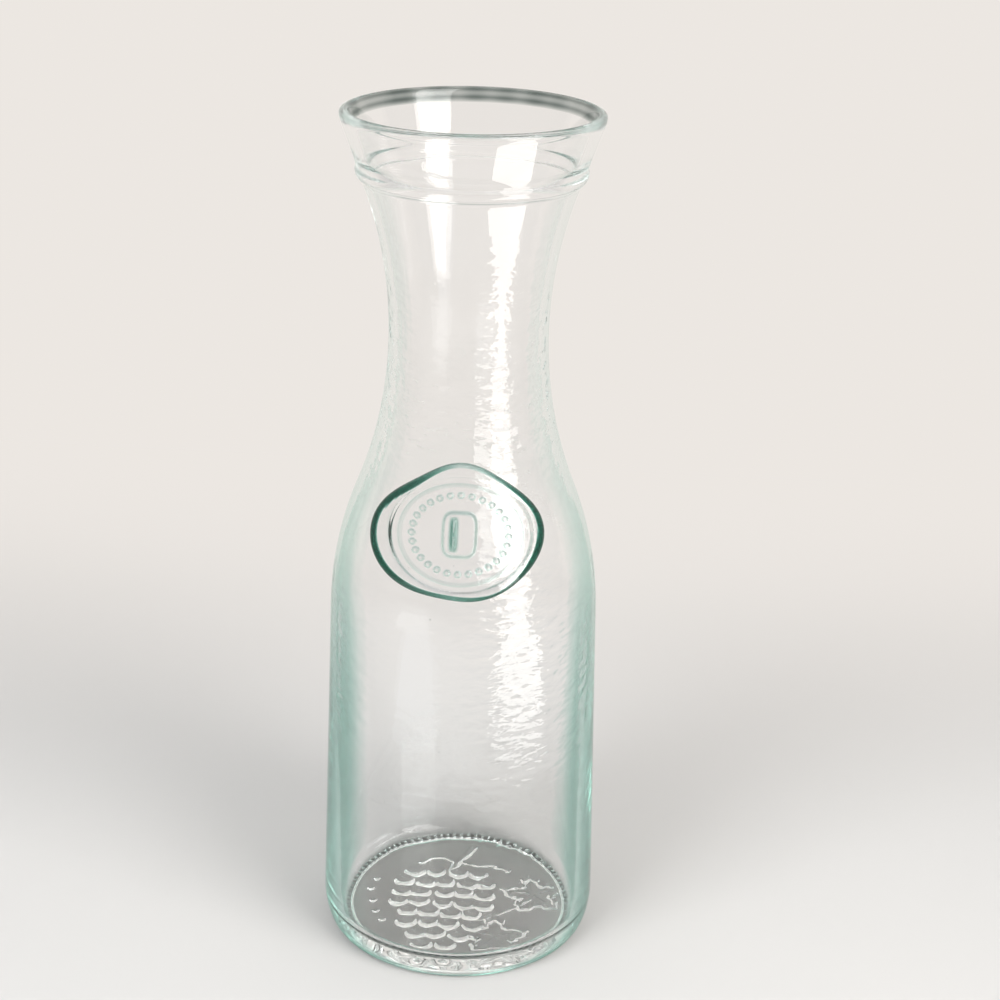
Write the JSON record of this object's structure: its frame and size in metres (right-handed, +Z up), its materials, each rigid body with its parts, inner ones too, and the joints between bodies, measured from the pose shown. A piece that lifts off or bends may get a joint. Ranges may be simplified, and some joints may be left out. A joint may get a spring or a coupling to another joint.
{
  "type": "wine carafe",
  "caption": "Clear glass wine carafe: straight body, rounded shoulder with a stamped glass seal, drawn-in neck and flared mouth with a ring and rounded rim, for serving wine at table.",
  "frame": {"origin": "centre of the foot on the surface that the carafe stands on", "axes": "+Z up along the axis of the vessel, -Y through the middle of the seal"},
  "size_m": [0.091, 0.091, 0.275],
  "materials": {
    "vessel_glass": "clear, faintly green, fire-polished",
    "seal_glass": "clear, faintly green, pressed"
  },
  "bodies": {
    "root": {"glass_vessel": "vessel_glass", "stamped_seal": "seal_glass"}
  },
  "joints": []
}
